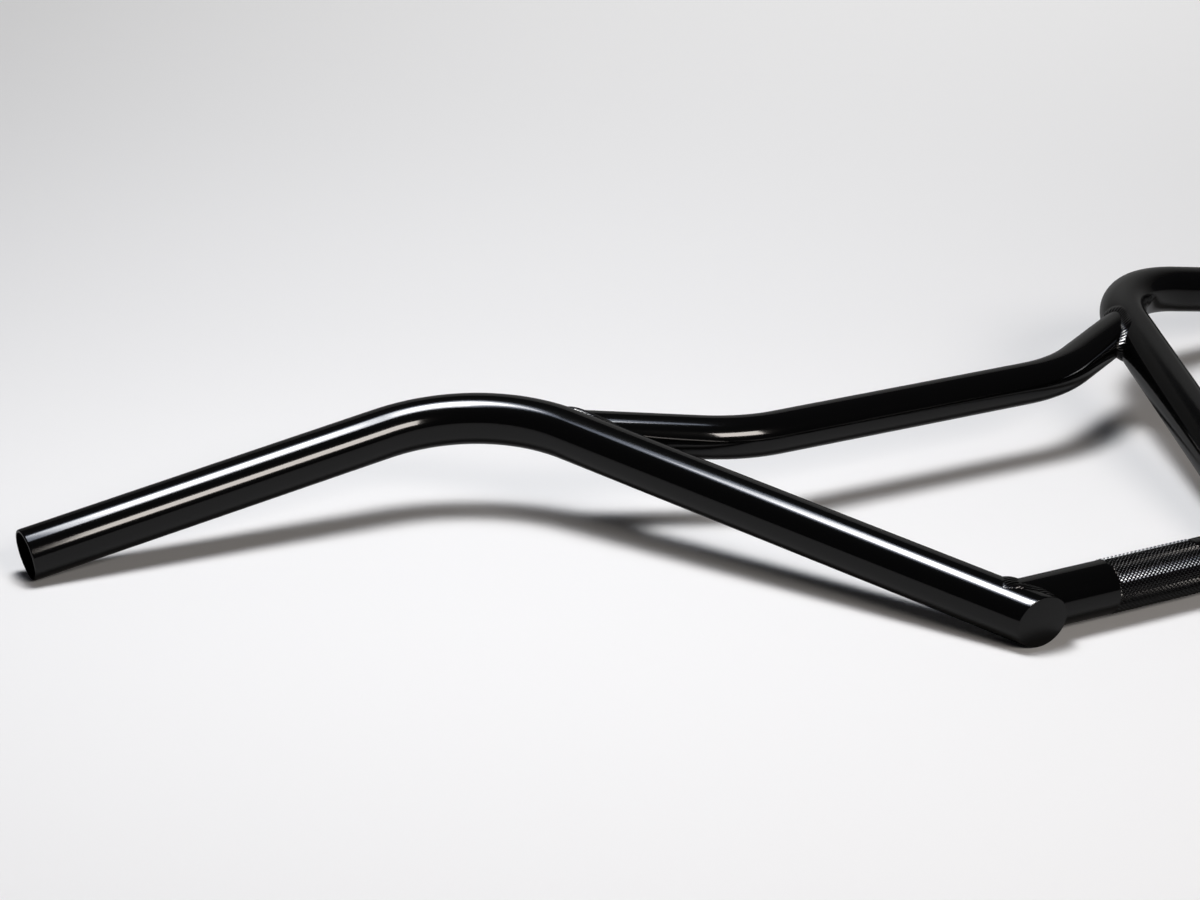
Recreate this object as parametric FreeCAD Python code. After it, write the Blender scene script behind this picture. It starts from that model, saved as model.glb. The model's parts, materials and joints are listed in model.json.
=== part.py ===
"""BMX handlebar of four welded steel tubes, lying on its back as it comes to rest.

Two bent tubes each form a leg and a grip. A straight clamp tube joins the legs' feet, a bent crossbar
braces them below the bends, oblique caps close the feet and a rippled bead is welded round each joint.
The clamp tube's middle band stands proud, as knurling raises it; the knurl itself is left plain.
"""
import FreeCAD, Part
import math
import os

V = FreeCAD.Vector

# Lengths are in millimetres and angles in degrees.
# The bar is laid out in its own plane, with the middle of the clamp tube at the origin:
# X runs along the clamp tube to the rider's left, Y up the rise and Z to the front of the bicycle.

# Lay-out of the two bar tubes
overall_width = 762.0
rise = 247.0
leg_half_gap = 70.0
leg_splay = 22.5
backsweep = 10.0
upsweep = 1.5
bend_radius = 74.0

# Legs, grips and clamp tube share one outside diameter, which stems and grips are made for
tube_diameter = 22.2
bar_wall = 1.2
bar_end_chamfer = 0.6
clamp_wall = 2.0

# Knurled band in the middle of the clamp tube, where the stem grips
knurl_length = 46.6
knurl_rise = 0.3

# Crossbar: a low straight run between two bends, then a rising run to each leg
crossbar_diameter = 19.05
crossbar_wall = 1.2
crossbar_height = 170.5
crossbar_half_run = 86.0
crossbar_joint_height = 207.0
crossbar_bend_radius = 75.0

# Caps on the legs' feet
cap_drop = 14.0
cap_thickness = 2.0

# Weld beads: how far they reach over each tube, the crown's radius, and the ripples' spacing and depth
weld_reach = 2.5
weld_crown_radius = 3.2
weld_ripple_spacing = 4.0
weld_ripple_depth = 0.4

# Outline across a bead: chords of the round crown, to this angle on each side of its middle
weld_crown_chords = 3
weld_crown_half_angle = 72.0

# Limits of the search for the tilt at rest
steepest_tilt = 45.0
tilt_halvings = 50

tube_radius = tube_diameter / 2
grip_direction = V(-1, math.tan(math.radians(upsweep)), -math.tan(math.radians(backsweep))).normalize()


def leg_point(height):
    """Point on the right leg's straight centreline at a height above the clamp axis."""
    return V(-leg_half_gap - height * math.tan(math.radians(leg_splay)), height, 0)


def mirrored(item):
    """The same point or shape on the rider's left."""
    if isinstance(item, FreeCAD.Vector):
        return V(-item.x, item.y, item.z)
    return item.mirror(V(0, 0, 0), V(1, 0, 0))


def rounded_path(corners, radius=0):
    """Wire of straight runs through the corners, with a tangent arc in place of each inner corner."""
    edges = []
    start = corners[0]
    for before, corner, after in zip(corners, corners[1:], corners[2:]):
        arriving = (corner - before).normalize()
        leaving = (after - corner).normalize()
        half_turn = arriving.getAngle(leaving) / 2
        trim = radius * math.tan(half_turn)
        arc_start = corner - arriving * trim
        arc_end = corner + leaving * trim
        to_centre = (leaving - arriving).normalize()
        arc_middle = corner + to_centre * (radius / math.cos(half_turn) - radius)
        edges.append(Part.LineSegment(start, arc_start).toShape())
        edges.append(Part.Arc(arc_start, arc_middle, arc_end).toShape())
        start = arc_end
    edges.append(Part.LineSegment(start, corners[-1]).toShape())
    return Part.Wire(edges)


def rod(path, diameter):
    """Solid round bar along a path."""
    first = path.Edges[0]
    start = first.valueAt(first.FirstParameter)
    along = first.tangentAt(first.FirstParameter)
    disc = Part.Face(Part.Wire(Part.makeCircle(diameter / 2, start, along)))
    return path.makePipe(disc)


def below(height):
    """Block round the right leg's foot that holds everything lower than a height above the clamp axis."""
    side = 4 * tube_diameter + 2 * cap_drop
    foot = leg_point(height)
    return Part.makeBox(side, side, side, V(foot.x - side / 2, height - side, -side / 2))


def outward(point, path):
    """Direction in which a tube's surface faces at a point, away from the tube's path."""
    nearest = path.distToShape(Part.Vertex(point))[1][0][0]
    return (point - nearest).normalize()


def crown_outline(centre, away, across, radius):
    """Closed outline across a bead: chords of a round crown, brought to a point inside the tubes."""
    corners = [centre]
    for chord_end in range(weld_crown_chords + 1):
        turn = math.radians(weld_crown_half_angle * (2 * chord_end / weld_crown_chords - 1))
        corners.append(centre + (away * math.cos(turn) + across * math.sin(turn)) * radius)
    return Part.makePolygon(corners + [centre])


def weld_bead(leg, leg_path, branch, branch_path):
    """Bead along the line where a branch tube meets a leg, lofted through ripple crests and hollows.

    Each outline lies in a plane through the branch's axis. Its crown is sunk so far into the corner
    that it covers both tubes for the bead's reach.
    """
    joint_line = Part.Wire(Part.__sortEdges__(leg.section(branch).Edges))
    branch_start = branch_path.Edges[0]
    branch_direction = branch_start.tangentAt(branch_start.FirstParameter)
    ripple_count = round(joint_line.Length / weld_ripple_spacing)
    outlines = []
    for place, root in enumerate(joint_line.discretize(Number=2 * ripple_count + 1)[:-1]):
        branch_normal = outward(root, branch_path)
        around = branch_direction.cross(branch_normal)
        leg_normal = outward(root, leg_path)
        leg_normal = (leg_normal - around * leg_normal.dot(around)).normalize()
        facing = leg_normal.dot(branch_normal)
        reach_along = weld_reach * math.sqrt((1 - facing) / 2)
        reach_across = weld_reach * math.sqrt((1 + facing) / 2)
        depth = math.sqrt(weld_crown_radius ** 2 - reach_across ** 2) - reach_along
        away = (leg_normal + branch_normal).normalize()
        radius = weld_crown_radius - weld_ripple_depth * (place % 2)
        outlines.append(crown_outline(root - away * depth, away, around.cross(away), radius))
    return Part.makeLoft(outlines, True, True, True).cut([leg, branch]).Solids[0]


def rest_tilt(grip_end):
    """Angle about X at which the grip ends and the feet touch one level surface, found by halving."""
    def grip_above_foot(tilt):
        up = V(0, math.sin(tilt), math.cos(tilt))
        rim_centre = grip_end - grip_direction * bar_end_chamfer
        rim_drop = tube_radius * math.sqrt(1 - grip_direction.dot(up) ** 2)
        foot_edge = V(0, -cap_drop, -tube_radius)
        return rim_centre.dot(up) - rim_drop - foot_edge.dot(up)

    low, high = -math.radians(steepest_tilt), math.radians(steepest_tilt)
    for _ in range(tilt_halvings):
        middle = (low + high) / 2
        if grip_above_foot(middle) < 0:
            low = middle
        else:
            high = middle
    return math.degrees(middle)


# Right bar tube, from its foot round the bend to the open grip end
grip_corner = leg_point(rise)
grip_length = (overall_width / 2 + grip_corner.x) / -grip_direction.x
grip_end = grip_corner + grip_direction * grip_length
past_foot = leg_point(-cap_drop - tube_diameter)
bar_path = rounded_path([past_foot, grip_corner, grip_end], bend_radius)
bar_rod = rod(bar_path, tube_diameter)
bar_bore = rod(bar_path, tube_diameter - 2 * bar_wall)
right_leg = bar_rod.cut(below(-cap_drop))
left_leg = mirrored(right_leg)


def is_grip_rim(edge):
    """True for the outer edge of the open grip end."""
    on_end = edge.CenterOfMass.distanceToPoint(grip_end) < bar_wall
    return on_end and edge.Length > math.pi * (tube_diameter - bar_wall)


cap_seat = cap_thickness - cap_drop
cut_tube = bar_rod.cut([bar_bore, below(cap_seat)]).Solids[0]
right_bar_tube = cut_tube.makeChamfer(bar_end_chamfer, [edge for edge in cut_tube.Edges if is_grip_rim(edge)])

# Cap on the right leg's foot, an oblique slice of the same round section
right_end_cap = right_leg.common(below(cap_seat)).Solids[0]

# Clamp tube with its knurled band, coped at both ends to the legs
clamp_path = rounded_path([leg_point(0), mirrored(leg_point(0))])
clamp_rod = rod(clamp_path, tube_diameter)
clamp_bore = rod(clamp_path, tube_diameter - 2 * clamp_wall)
knurl_path = rounded_path([V(-knurl_length / 2, 0, 0), V(knurl_length / 2, 0, 0)])
knurl_band = rod(knurl_path, tube_diameter + 2 * knurl_rise)
clamp_tube = clamp_rod.fuse(knurl_band).cut([clamp_bore, right_leg, left_leg]).Solids[0]

# Crossbar, coped at both ends to the legs where the bar tubes' centrelines reach the joint's height
joint_level = Part.Face(Part.Wire(Part.makeCircle(overall_width, V(0, crossbar_joint_height, 0), V(0, 1, 0))))
crossbar_joint = bar_path.section(joint_level).Vertexes[0].Point
crossbar_corner = V(-crossbar_half_run, crossbar_height, 0)
crossbar_corners = [crossbar_joint, crossbar_corner, mirrored(crossbar_corner), mirrored(crossbar_joint)]
crossbar_path = rounded_path(crossbar_corners, crossbar_bend_radius)
crossbar_rod = rod(crossbar_path, crossbar_diameter)
crossbar_bore = rod(crossbar_path, crossbar_diameter - 2 * crossbar_wall)
crossbar = crossbar_rod.cut([crossbar_bore, right_leg, left_leg]).Solids[0]

# Weld beads round the right leg's two joints, each grouped with its like on the left
right_clamp_weld = weld_bead(right_leg, bar_path, clamp_rod, clamp_path)
right_crossbar_weld = weld_bead(right_leg, bar_path, crossbar_rod, crossbar_path)

pieces = {
    "right_bar_tube": right_bar_tube,
    "left_bar_tube": mirrored(right_bar_tube),
    "end_caps": Part.Compound([right_end_cap, mirrored(right_end_cap)]),
    "clamp_tube": clamp_tube,
    "crossbar": crossbar,
    "clamp_welds": Part.Compound([right_clamp_weld, mirrored(right_clamp_weld)]),
    "crossbar_welds": Part.Compound([right_crossbar_weld, mirrored(right_crossbar_weld)]),
}

os.makedirs("parts", exist_ok=True)
tilt = rest_tilt(grip_end)
for name, piece in pieces.items():
    lying = piece.copy()
    lying.rotate(V(0, 0, 0), V(1, 0, 0), tilt)
    lying.exportStep(f"parts/{name}.step")
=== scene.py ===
"""Looks of the BMX handlebar: smooth swept tubes, a diamond knurl and rippled welds in gloss black paint.

Every piece is built in the bar's own plane, in millimetres, and then laid down as the solids lie.
The camera, the floor and the lights are placed in the frame's own axes, in metres.
"""
import json
import math

import bpy
import numpy as np
from mathutils import Matrix, Vector


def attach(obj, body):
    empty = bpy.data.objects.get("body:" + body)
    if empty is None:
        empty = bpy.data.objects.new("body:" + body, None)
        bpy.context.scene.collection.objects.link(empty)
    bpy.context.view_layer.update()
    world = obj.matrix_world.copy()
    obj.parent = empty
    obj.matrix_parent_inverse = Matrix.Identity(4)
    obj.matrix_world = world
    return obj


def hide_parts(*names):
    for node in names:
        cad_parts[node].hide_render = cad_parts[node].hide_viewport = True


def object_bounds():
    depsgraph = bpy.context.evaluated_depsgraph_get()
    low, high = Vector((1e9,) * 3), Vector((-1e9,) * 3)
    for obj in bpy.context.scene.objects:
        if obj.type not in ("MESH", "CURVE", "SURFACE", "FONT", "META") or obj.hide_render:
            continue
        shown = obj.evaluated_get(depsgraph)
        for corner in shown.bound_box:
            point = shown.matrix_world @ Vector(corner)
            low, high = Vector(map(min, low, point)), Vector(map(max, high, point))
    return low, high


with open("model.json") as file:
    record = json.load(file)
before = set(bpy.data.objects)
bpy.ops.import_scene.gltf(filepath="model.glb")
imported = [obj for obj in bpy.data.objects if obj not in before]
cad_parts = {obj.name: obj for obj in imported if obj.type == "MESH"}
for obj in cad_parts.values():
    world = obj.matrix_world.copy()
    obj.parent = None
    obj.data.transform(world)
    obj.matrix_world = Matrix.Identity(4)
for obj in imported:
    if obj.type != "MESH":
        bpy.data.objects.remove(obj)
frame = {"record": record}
solid_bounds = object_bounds()
mounts = {mount["name"]: mount for mount in frame["record"]["mounts"]}

MM = 0.001

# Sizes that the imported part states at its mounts, in millimetres
tube_radius = mounts["right_grip"]["dims"]["r_mm"]
bore_radius = mounts["right_bar_end"]["dims"]["r_mm"]
knurl_radius = mounts["stem_clamp"]["dims"]["r_mm"]
knurl_length = mounts["stem_clamp"]["dims"]["length_mm"]

# Lay-out of the bar in its own plane: X along the clamp tube, Y up the rise, Z to the front of the bicycle
half_width = 381.0
rise = 247.0
leg_half_gap = 70.0
leg_splay = 22.5
backsweep = 10.0
upsweep = 1.5
bend_radius = 74.0
clamp_bore_radius = 9.1
crossbar_radius = 9.525
crossbar_bore_radius = 8.325
crossbar_height = 170.5
crossbar_half_run = 86.0
crossbar_joint_height = 207.0
crossbar_bend_radius = 75.0
cap_drop = 14.0
cap_thickness = 2.0

# Edges softened by the paint
rim_round = 0.6
cap_round = 0.25

# Knurl: pitch of the diamonds along the tube, their number round it, and depth of the grooves.
# The real one is about a tenth finer; it is drawn this coarse so that its diamonds show in the render.
knurl_pitch = 2.05
knurl_diamonds = 42
knurl_depth = 0.6

# Weld beads: reach over each tube, the round crown, clearance above the feet, and how deep the root is buried
weld_reach = 3.3
weld_crown_radius = 11.0
weld_crown_half_angle = 26.0
weld_above_foot = 1.0
weld_root_depth = 1.0

# Ripples of the beads: spacing, depth, bow across the bead and the share by which their heights differ
weld_ripple_spacing = 1.8
weld_ripple_depth = 0.28
weld_ripple_bow = 1.6
weld_unevenness = 0.4
clamp_bead_seed = 3
crossbar_bead_seed = 5

# Distance short of the leg's centreline from which a branch tube's end is slid to meet the leg
cope_start = 3 * tube_radius

# Fineness of the meshes: numbers of points or tries, and angles in degrees
tube_sides = 128
round_steps = 6
knurl_samples = 8
ripple_steps = 12
crown_steps = 20
cope_tries = 200
cope_halvings = 40
sweep_steps = 24
bend_step = 1.5
sharp_edge_angle = 40.0

# Width of the strip in which the smooth shading turns beside an edge, and slack for rounding errors
shading_strip = 0.05
rounding_slack = 1e-6


def unit(vector):
    """The vectors at length one."""
    vector = np.asarray(vector, float)
    return vector / np.linalg.norm(vector, axis=-1, keepdims=True)


# Directions of the right leg and grip, and the tilt at which the bar lies
leg_slope = math.tan(math.radians(leg_splay))
leg_direction = unit([-leg_slope, 1, 0])
grip_direction = unit([-1, math.tan(math.radians(upsweep)), -math.tan(math.radians(backsweep))])
grip_axis = mounts["right_grip"]["axis"]
rest_tilt = math.atan2(grip_axis[2], grip_axis[1]) - math.atan2(grip_direction[2], grip_direction[1])
lying = np.array(Matrix.Rotation(rest_tilt, 3, "X"))


def leg_point(height):
    """Point on the right leg's straight centreline at a height above the clamp axis."""
    return np.array([-leg_half_gap - height * leg_slope, height, 0])


def mirrored(points):
    """The same points on the rider's left."""
    return points * [-1, 1, 1]


def mirrored_grid(grid):
    """The same grid on the rider's left, its columns reversed so that its faces still look outwards."""
    return mirrored(grid)[:, ::-1]


def rounded_path(corners, radius):
    """Points and directions along straight runs, with a stepped tangent arc for each inner corner."""
    points = [corners[0]]
    directions = [unit(corners[1] - corners[0])]
    for before, corner, after in zip(corners, corners[1:], corners[2:]):
        arriving = unit(corner - before)
        leaving = unit(after - corner)
        turn = math.acos(arriving @ leaving)
        arc_start = corner - arriving * radius * math.tan(turn / 2)
        inward = unit(leaving - arriving * (leaving @ arriving))
        for angle in np.linspace(0, turn, math.ceil(math.degrees(turn) / bend_step) + 1):
            ahead = arriving * radius * math.sin(angle)
            aside = inward * radius * (1 - math.cos(angle))
            points.append(arc_start + ahead + aside)
            directions.append(arriving * math.cos(angle) + inward * math.sin(angle))
    points.append(corners[-1])
    directions.append(unit(corners[-1] - corners[-2]))
    return np.array(points), np.array(directions)


def rings(points, directions, flat_normal, radius, sides=tube_sides):
    """Circles of points, of one radius or one each, round a path in a plane with the given normal."""
    angles = np.linspace(0, 2 * math.pi, sides, endpoint=False)
    across = np.cross(directions, flat_normal)
    spokes = np.cos(angles)[:, None] * flat_normal + np.sin(angles)[:, None] * across[:, None, :]
    return points[:, None, :] + np.asarray(radius).reshape(-1, 1, 1) * spokes


def slid_to_height(ring, height):
    """A ring of the right leg slid along the leg until it lies level at a height."""
    return ring + leg_direction * ((height - ring[:, 1:2]) / leg_direction[1])


def add_piece(name, grids, node, materials, bore_row=None, turned=None, closed=True):
    """Mesh piece from grids of points, each joined round its columns and from its last row to its first.

    A grid that isn't closed along its rows has two end faces instead. Faces from the bore's first row on
    take the second material, and turned faces fold along their other diagonal.
    """
    points = []
    faces = []
    skins = []
    for grid in grids:
        rows, columns = grid.shape[:2]
        first_point = sum(map(len, points))
        row = np.arange(rows if closed else rows - 1)[:, None]
        column = np.arange(columns)
        next_row = (row + 1) % rows
        next_column = (column + 1) % columns
        corners = [row * columns + column, row * columns + next_column,
                   next_row * columns + next_column, next_row * columns + column]
        quads = np.stack(corners, -1) + first_point
        if turned is not None:
            quads = np.where(turned[..., None], np.roll(quads, 1, -1), quads)
        faces += quads.reshape(-1, 4).tolist()
        skins += np.repeat(row[:, 0] >= (bore_row or rows), columns).tolist()
        if not closed:
            last_row = (rows - 1) * columns
            faces += [(column[::-1] + first_point).tolist(), (column + last_row + first_point).tolist()]
            skins += [0, 0]
        points.append(grid.reshape(-1, 3))
    mesh = bpy.data.meshes.new(name)
    mesh.from_pydata((np.concatenate(points) @ lying.T * MM).tolist(), [], faces)
    mesh.shade_smooth()
    mesh.set_sharp_from_angle(angle=math.radians(sharp_edge_angle))
    for material in materials:
        mesh.materials.append(material)
    mesh.polygons.foreach_set("material_index", np.array(skins, np.int32))
    piece = bpy.data.objects.new(name, mesh)
    bpy.context.scene.collection.objects.link(piece)
    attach(piece, "root")
    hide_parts(node)


def linear(code):
    """Linear colour with full alpha from an sRGB hex code."""
    channels = [int(code[place:place + 2], 16) / 255 for place in (1, 3, 5)]
    return [c / 12.92 if c <= 0.04045 else ((c + 0.055) / 1.055) ** 2.4 for c in channels] + [1.0]


def add_node(tree, kind, settings=None, inputs=None, links=None):
    """Node of a kind in a tree, with its settings, its constant inputs and links into its inputs."""
    node = tree.nodes.new(kind)
    for key, value in (settings or {}).items():
        setattr(node, key, value)
    for key, value in (inputs or {}).items():
        node.inputs[key].default_value = value
    for key, socket in (links or {}).items():
        tree.links.new(socket, node.inputs[key])
    return node


def new_material(name):
    """Empty node material and its tree."""
    material = bpy.data.materials.new(name)
    material.use_nodes = True
    material.node_tree.nodes.clear()
    return material, material.node_tree


def gloss_black_enamel():
    """Gloss enamel, sprayed on the steel and stoved."""
    # It looks deep black, with sharp reflections that waver slightly over the orange peel.
    peel_size = 2.6 * MM
    peel_height = 0.006 * MM
    haze_size = 18 * MM
    material, tree = new_material("gloss_black_stoved_enamel")
    place = add_node(tree, "ShaderNodeTexCoord").outputs["Object"]
    peel = add_node(tree, "ShaderNodeTexNoise", inputs={"Scale": 1 / peel_size, "Detail": 1.0},
                    links={"Vector": place})
    bump = add_node(tree, "ShaderNodeBump", inputs={"Strength": 0.25, "Distance": peel_height},
                    links={"Height": peel.outputs["Fac"]})
    haze = add_node(tree, "ShaderNodeTexNoise", inputs={"Scale": 1 / haze_size, "Detail": 4.0},
                    links={"Vector": place})
    gloss = add_node(tree, "ShaderNodeMapRange", inputs={"To Min": 0.09, "To Max": 0.12},
                     links={"Value": haze.outputs["Fac"]})
    paint = add_node(tree, "ShaderNodeBsdfPrincipled",
                     inputs={"Base Color": linear("#040404"), "Specular IOR Level": 0.9},
                     links={"Roughness": gloss.outputs["Result"], "Normal": bump.outputs["Normal"]})
    add_node(tree, "ShaderNodeOutputMaterial", links={"Surface": paint.outputs["BSDF"]})
    return material


def dull_painted_shade_bore():
    """Dull, nearly black inside of the tube, whose dullness is painted shade in the deep bore."""
    # It looks dull and nearly black, as painted shade, so that the open grip end reads as a dark hole; its
    # blotches are random tone.
    blotch_size = 4 * MM
    material, tree = new_material("dull_black_bore_painted_shade")
    place = add_node(tree, "ShaderNodeTexCoord").outputs["Object"]
    blotches = add_node(tree, "ShaderNodeTexNoise", inputs={"Scale": 1 / blotch_size, "Detail": 5.0},
                        links={"Vector": place})
    tone = add_node(tree, "ShaderNodeMix", {"data_type": "RGBA"},
                    {"A": linear("#050505"), "B": linear("#100f0e")}, {"Factor": blotches.outputs["Fac"]})
    oxide = add_node(tree, "ShaderNodeBsdfPrincipled",
                     inputs={"Roughness": 0.7, "Specular IOR Level": 0.15},
                     links={"Base Color": tone.outputs["Result"]})
    add_node(tree, "ShaderNodeOutputMaterial", links={"Surface": oxide.outputs["BSDF"]})
    return material


enamel = gloss_black_enamel()
# The bore's dull near-black material is painted shade inside the tube.
bore_painted_shade = dull_painted_shade_bore()

# Bar tubes: outside from the foot to the grip end, round the rim, and back along the bore
foot = leg_point(-cap_drop - tube_radius)
grip_corner = leg_point(rise)
grip_end = grip_corner + grip_direction * (half_width + grip_corner[0]) / -grip_direction[0]
bar_points, bar_directions = rounded_path([foot, grip_corner, grip_end], bend_radius)
bar_flat = unit(np.cross(leg_direction, grip_direction))
cap_seat = cap_thickness - cap_drop

outside = rings(bar_points[:-1], bar_directions[:-1], bar_flat, tube_radius)
outside[0] = slid_to_height(outside[0], cap_seat)
quarter = np.linspace(0, math.pi / 2, round_steps)
rim_places = grip_end - grip_direction * rim_round * (1 - np.sin(quarter))[:, None]
rim_directions = np.tile(grip_direction, (round_steps, 1))
rim_radii = tube_radius - rim_round * (1 - np.cos(quarter))
rim = rings(rim_places, rim_directions, bar_flat, rim_radii)
inside = rings(bar_points, bar_directions, bar_flat, bore_radius)[::-1].copy()
inside[-1] = slid_to_height(inside[-1], cap_seat)

right_bar = np.concatenate([outside, rim, inside])
left_bar = mirrored_grid(right_bar)
bore_row = len(outside) + round_steps
add_piece("right_bar", [right_bar], "right_bar_tube", [enamel, bore_painted_shade], bore_row)
add_piece("left_bar", [left_bar], "left_bar_tube", [enamel, bore_painted_shade], bore_row)

# Caps: level slices of the leg with a softened lower edge
cap_rings = [outside[0]]
for angle in quarter:
    height = cap_round * (1 - math.sin(angle)) - cap_drop
    centre = leg_point(height)
    level_ring = slid_to_height(outside[0], height)
    narrowing = 1 - cap_round * (1 - math.cos(angle)) / tube_radius
    cap_rings.append(centre + (level_ring - centre) * narrowing)
right_cap = np.array(cap_rings)[::-1]
add_piece("caps", [right_cap, mirrored_grid(right_cap)], "end_caps", [enamel], closed=False)


def leg_gap(points):
    """Distance of points from the right bar tube's centreline, and the direction away from it."""
    starts = bar_points[:-1]
    runs = np.diff(bar_points, axis=0)
    offset = points[:, None, :] - starts
    share = np.clip((offset * runs).sum(2) / (runs * runs).sum(1), 0, 1)
    away = offset - share[..., None] * runs
    distance = np.linalg.norm(away, axis=2)
    nearest = distance.argmin(1)
    rows = np.arange(len(points))
    return distance[rows, nearest], unit(away[rows, nearest])


def coped(ring, direction):
    """A ring of a branch tube slid along the tube until each of its points meets the right leg."""
    slides = np.linspace(0, cope_start + tube_radius, cope_tries)
    gaps = np.array([leg_gap(ring + direction * slide)[0] for slide in slides])
    near = np.zeros(len(ring))
    far = slides[gaps.argmin(0)]
    for _ in range(cope_halvings):
        middle = (near + far) / 2
        inside_leg = leg_gap(ring + direction * middle[:, None])[0] < tube_radius
        near = np.where(inside_leg, near, middle)
        far = np.where(inside_leg, middle, far)
    return ring + direction * near[:, None]


# Knurled band: two slanting sets of grooves, with diamonds that rise to a point between them
x_direction = np.array([1.0, 0, 0])
z_direction = np.array([0, 0, 1.0])
knurl_columns = knurl_diamonds * knurl_samples
knurl_pitches = round(knurl_length / knurl_pitch)
knurl_rows = knurl_pitches * knurl_samples
knurl_places = np.linspace(-knurl_length / 2, knurl_length / 2, knurl_rows + 1)
along = (knurl_places / knurl_length * knurl_pitches)[:, None]
around = np.arange(knurl_columns) / knurl_samples
distance_to_groove = [2 * np.abs(slant - np.round(slant)) for slant in (along + around, along - around)]
diamond_rise = np.minimum(*distance_to_groove)
distance_to_end = knurl_length / 2 - np.abs(knurl_places)
from_band_end = np.clip(distance_to_end / (knurl_pitch / 2), 0, 1)[:, None]
crest_radius = tube_radius + (knurl_radius - tube_radius) * from_band_end
knurl_radii = crest_radius - knurl_depth * from_band_end * (1 - diamond_rise)


def clamp_rings(places, radius):
    """Rings of the clamp tube at places along it, with as many points as the knurl has."""
    points = np.outer(places, x_direction)
    centres = points[:, None, :]
    directions = np.tile(x_direction, (len(points), 1))
    spokes = rings(points, directions, z_direction, 1.0, knurl_columns) - centres
    radii = np.broadcast_to(radius, (len(points), knurl_columns))
    return centres + spokes * radii[..., None]


def clamp_end(radius):
    """Coped ring at the clamp tube's right end."""
    short_ring = clamp_rings([-leg_half_gap + cope_start], radius)[0]
    return coped(short_ring, -x_direction)


# Clamp tube: coped ends, plain stretches and the knurled band, whose quads fold along grooves and ridges
outer_end = clamp_end(tube_radius)
inner_end = clamp_end(clamp_bore_radius)
beside_end = outer_end + x_direction * shading_strip
beside_band = clamp_rings([-knurl_length / 2 - shading_strip], tube_radius)[0]
right_stretch = [outer_end, beside_end, beside_band]
left_stretch = [mirrored(ring) for ring in right_stretch[::-1]]
knurled_band = list(clamp_rings(knurl_places, knurl_radii))
clamp = np.array(right_stretch + knurled_band + left_stretch + [mirrored(inner_end), inner_end])
band_row = len(right_stretch)
folds = np.zeros(clamp.shape[:2], bool)
half_diamonds = np.floor(2 * along[:-1] + rounding_slack) + np.floor(2 * around + rounding_slack)
folds[band_row:band_row + knurl_rows] = half_diamonds % 2 == 0
add_piece("knurled_clamp_tube", [clamp], "clamp_tube", [enamel], turned=folds)

# Crossbar, coped to the legs where the bar tubes' centrelines reach the joint's height
joint_row = np.abs(bar_points[:, 1] - crossbar_joint_height).argmin()
below_joint = bar_points[joint_row - 1]
above_joint = bar_points[joint_row + 1]
joint_share = (crossbar_joint_height - below_joint[1]) / (above_joint[1] - below_joint[1])
crossbar_joint = below_joint + (above_joint - below_joint) * joint_share
crossbar_corner = np.array([-crossbar_half_run, crossbar_height, 0])
end_direction = unit(crossbar_joint - crossbar_corner)
crossbar_start = crossbar_joint - end_direction * cope_start
crossbar_corners = [crossbar_start, crossbar_corner, mirrored(crossbar_corner), mirrored(crossbar_start)]
crossbar_points, crossbar_directions = rounded_path(crossbar_corners, crossbar_bend_radius)


def crossbar_shell(radius):
    """Rings of the crossbar from its coped right end to its coped left end."""
    shell = rings(crossbar_points, crossbar_directions, z_direction, radius)
    shell[0] = coped(shell[0], end_direction)
    shell[-1] = mirrored(shell[0])
    return shell


crossbar = np.concatenate([crossbar_shell(crossbar_radius), crossbar_shell(crossbar_bore_radius)[::-1]])
add_piece("bent_crossbar", [crossbar], "crossbar", [enamel])


def even_joint_line(joint_ring):
    """Even points along a closed joint line, their places counted in ripples, and the number of ripples."""
    loop = np.concatenate([joint_ring, joint_ring[:1]])
    lengths = np.r_[0, np.linalg.norm(np.diff(loop, axis=0), axis=1).cumsum()]
    ripples = round(lengths[-1] / weld_ripple_spacing)
    steps = np.arange(ripples * ripple_steps) / ripple_steps
    places = steps / ripples * lengths[-1]
    line = np.stack([np.interp(places, lengths, loop[:, axis]) for axis in range(3)], 1)
    return line, steps, ripples


def ripple_hollows(steps, turns, ripples, seed):
    """Depth below a smooth crown at steps along a bead and turns across it, with uneven, bowed ripples."""
    bowed = steps[:, None] + weld_ripple_bow * (1 - np.cos(turns))
    heights = np.random.default_rng(seed).uniform(1 - weld_unevenness, 1, ripples)
    height = heights[np.floor(bowed).astype(int) % ripples]
    hollow = (2 * (bowed % 1) - 1) ** 2
    return weld_ripple_depth * (1 - height + height * hollow)


def weld_bead(joint_ring, branch_axis_point, branch_direction, seed):
    """Rippled bead over the ring of points where a branch tube meets the right leg.

    Its crown is sunk so far into the corner between the tubes that it covers both for the bead's reach.
    """
    roots, steps, ripples = even_joint_line(joint_ring)
    spokes = roots - branch_axis_point
    branch_normal = unit(spokes - np.outer(spokes @ branch_direction, branch_direction))
    around_branch = np.cross(branch_direction, branch_normal)
    leg_normal = leg_gap(roots)[1]
    leg_normal = unit(leg_normal - around_branch * (leg_normal * around_branch).sum(1, keepdims=True))
    facing = (leg_normal * branch_normal).sum(1, keepdims=True)
    reach_along = weld_reach * np.sqrt((1 - facing) / 2)
    reach_across = weld_reach * np.sqrt((1 + facing) / 2)
    depth = np.sqrt(weld_crown_radius ** 2 - reach_across ** 2) - reach_along
    away = unit(leg_normal + branch_normal)
    across = np.cross(around_branch, away)
    centres = roots - away * depth
    turns = np.radians(np.linspace(weld_crown_half_angle, -weld_crown_half_angle, crown_steps))
    radius = weld_crown_radius - ripple_hollows(steps, turns, ripples, seed)
    outward = away[:, None, :] * np.cos(turns)[:, None] + across[:, None, :] * np.sin(turns)[:, None]
    crown = centres[:, None, :] + radius[..., None] * outward
    crown[..., 1] = np.maximum(crown[..., 1], weld_above_foot - cap_drop)
    buried_root = (roots - away * weld_root_depth)[:, None, :]
    return np.concatenate([crown, buried_root], 1)


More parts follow.
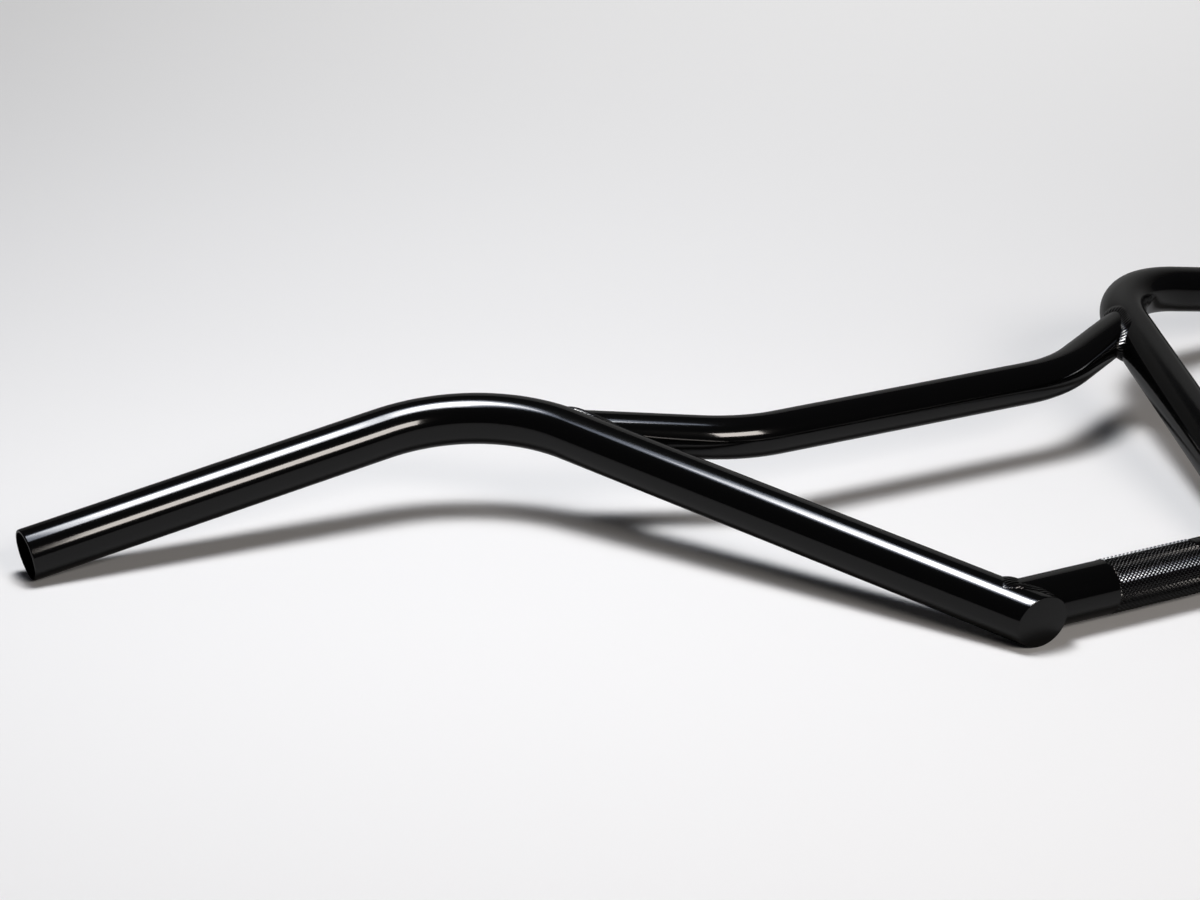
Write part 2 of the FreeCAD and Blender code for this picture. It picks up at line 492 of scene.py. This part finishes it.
def add_welds(name, joint_ring, axis_point, direction, node, seed):
    """The bead on the right joint and its like on the left."""
    bead = weld_bead(joint_ring, axis_point, direction, seed)
    add_piece(name, [bead, mirrored_grid(bead)], node, [enamel])


clamp_middle = np.zeros(3)
crossbar_end = crossbar[0]
add_welds("clamp_joint_beads", outer_end, clamp_middle, -x_direction, "clamp_welds", clamp_bead_seed)
add_welds("crossbar_joint_beads", crossbar_end, crossbar_corner, end_direction, "crossbar_welds",
          crossbar_bead_seed)

# Camera, fitted to the tubes' edges: places, lens and sensor in millimetres, roll in degrees
camera_place = Vector((-818.296, -938.106, 481.554)) * MM
camera_target = Vector((-93.505, 275.869, -12.855)) * MM
camera_roll = 0.238
camera_lens = 97.55
camera_sensor = 36
look = (camera_target - camera_place).normalized()

# Floor that rises into a backdrop behind the bar, as seen from the camera, in metres
floor_level = solid_bounds[0].z
floor_middle = Vector((0, 0.13, floor_level))
floor_out = Vector((look.x, look.y, 0)).normalized()
floor_side = Vector((floor_out.y, -floor_out.x, 0))
floor_front = 1.6
floor_half_width = 2.2
sweep_start = 1.5
sweep_radius = 0.6
sweep_height = 1.6

# Tone of the paper: grey to bounced light and reflections, paler to the camera. The paler tone starts at
# a dim spot, grows as (1 + (distance / reach) ** 2) ** evening and stops at its most.
paper_grey = 0.18
paper_dim_spot = (-0.9, 1.1, floor_level)
paper_tone = 0.7
paper_evening = 0.75
paper_reach = 2.67
paper_most = 0.91


def seamless_paper():
    """Matt uncoated paper, hung in one sweep."""
    # It looks pale and evenly lit near the camera, and greys softly with distance.
    material, tree = new_material("matt_pale_seamless_paper")
    place = add_node(tree, "ShaderNodeNewGeometry").outputs["Position"]
    away = add_node(tree, "ShaderNodeVectorMath", {"operation": "DISTANCE"}, {1: paper_dim_spot}, {0: place})
    share = add_node(tree, "ShaderNodeMath", {"operation": "DIVIDE"}, {1: paper_reach},
                     {0: away.outputs["Value"]}).outputs[0]
    square = add_node(tree, "ShaderNodeMath", {"operation": "MULTIPLY_ADD"}, {2: 1.0}, {0: share, 1: share})
    gain = add_node(tree, "ShaderNodeMath", {"operation": "POWER"}, {1: paper_evening},
                    {0: square.outputs[0]})
    tone = add_node(tree, "ShaderNodeMath", {"operation": "MULTIPLY"}, {1: paper_tone},
                    {0: gain.outputs[0]})
    limit = add_node(tree, "ShaderNodeMath", {"operation": "MINIMUM"}, {1: paper_most},
                     {0: tone.outputs[0]})
    seen = add_node(tree, "ShaderNodeLightPath").outputs["Is Camera Ray"]
    shade = add_node(tree, "ShaderNodeMix", inputs={"A": paper_grey},
                     links={"Factor": seen, "B": limit.outputs[0]})
    paper = add_node(tree, "ShaderNodeBsdfDiffuse", links={"Color": shade.outputs["Result"]})
    add_node(tree, "ShaderNodeOutputMaterial", links={"Surface": paper.outputs["BSDF"]})
    return material


# Paper sweep: a strip along the profile of the floor, the curve and the upright backdrop
profile = [(-floor_front, 0.0), (0.0, 0.0)]
for angle in np.linspace(0, math.pi / 2, sweep_steps):
    profile.append((sweep_start + sweep_radius * math.sin(angle), sweep_radius * (1 - math.cos(angle))))
profile.append((sweep_start + sweep_radius, sweep_height))
sweep_points = []
for out, up in profile:
    for side in (-floor_half_width, floor_half_width):
        sweep_points.append(floor_middle + floor_out * out + floor_side * side + Vector((0, 0, up)))
sweep_faces = []
for row in range(len(profile) - 1):
    sweep_faces.append((2 * row, 2 * row + 1, 2 * row + 3, 2 * row + 2))
sweep_mesh = bpy.data.meshes.new("paper_sweep")
sweep_mesh.from_pydata(sweep_points, [], sweep_faces)
sweep_mesh.shade_smooth()
sweep_mesh.materials.append(seamless_paper())
paper_sweep = bpy.data.objects.new("paper_sweep", sweep_mesh)
bpy.context.scene.collection.objects.link(paper_sweep)


def add_softbox(name, place, aim, width, height, radiance, colour, spread=180):
    """Rectangular light of even radiance that faces a point."""
    lamp = bpy.data.lights.new(name, "AREA")
    lamp.shape = "RECTANGLE"
    lamp.size = width
    lamp.size_y = height
    lamp.energy = radiance * width * height * math.pi
    lamp.color = linear(colour)[:3]
    lamp.spread = math.radians(spread)
    softbox = bpy.data.objects.new(name, lamp)
    softbox.location = place
    softbox.rotation_euler = (Vector(aim) - Vector(place)).to_track_quat("-Z", "Y").to_euler()
    bpy.context.scene.collection.objects.link(softbox)


# Overhead: a hot middle within a wider surround and a faint bluish halo, which feather its reflection
overhead_place = (-0.24, 0.265, 1.056)


def add_overhead(name, shift_back, shift_up, **light):
    """Light that faces straight down, shifted back and up from the overhead place."""
    x, y, z = overhead_place
    add_softbox(name, (x, y + shift_back, z + shift_up), (x, y + shift_back, 0), **light)


add_overhead("overhead_softbox", shift_back=0, shift_up=0,
             width=0.28, height=0.28, radiance=22, colour="#fffdfa")
add_overhead("overhead_surround", shift_back=-0.015, shift_up=0.005,
             width=0.42, height=0.5, radiance=7.6, colour="#fbfbfd")
add_overhead("overhead_halo", shift_back=0.02, shift_up=0.01,
             width=0.6, height=0.6, radiance=2, colour="#dde9ff")

# Front: a large distant softbox, which gives the second line of light along the grip
front_place = (0.07, -1.84, 1.186)
front_aim = (-0.2, 0.2, 0)
add_softbox("front_softbox", front_place, front_aim, width=1.05, height=0.72, radiance=8.6, colour="#fff7f0")

# Backdrop: a light above the floor that faces the paper's curve
backdrop_light_out = 0.7
backdrop_light_height = 1.7
backdrop_aim_out = 2.0
backdrop_aim_height = 0.35
backdrop_light = floor_middle + floor_out * backdrop_light_out + Vector((0, 0, backdrop_light_height))
backdrop_aim = floor_middle + floor_out * backdrop_aim_out + Vector((0, 0, backdrop_aim_height))
add_softbox("backdrop_light", backdrop_light, backdrop_aim, width=1.2, height=0.4, radiance=9,
            colour="#ffffff", spread=120)

world = bpy.data.worlds.new("dim_studio")
world.use_nodes = True
world.node_tree.nodes["Background"].inputs["Color"].default_value = linear("#202022")
bpy.context.scene.world = world

camera = bpy.data.objects.new("camera", bpy.data.cameras.new("camera"))
camera.data.lens = camera_lens
camera.data.sensor_width = camera_sensor
camera.location = camera_place
roll = Matrix.Rotation(math.radians(camera_roll), 3, "Z")
camera.rotation_euler = (look.to_track_quat("-Z", "Y").to_matrix() @ roll).to_euler()
bpy.context.scene.collection.objects.link(camera)
bpy.context.scene.camera = camera
bpy.context.scene.view_settings.view_transform = "Standard"
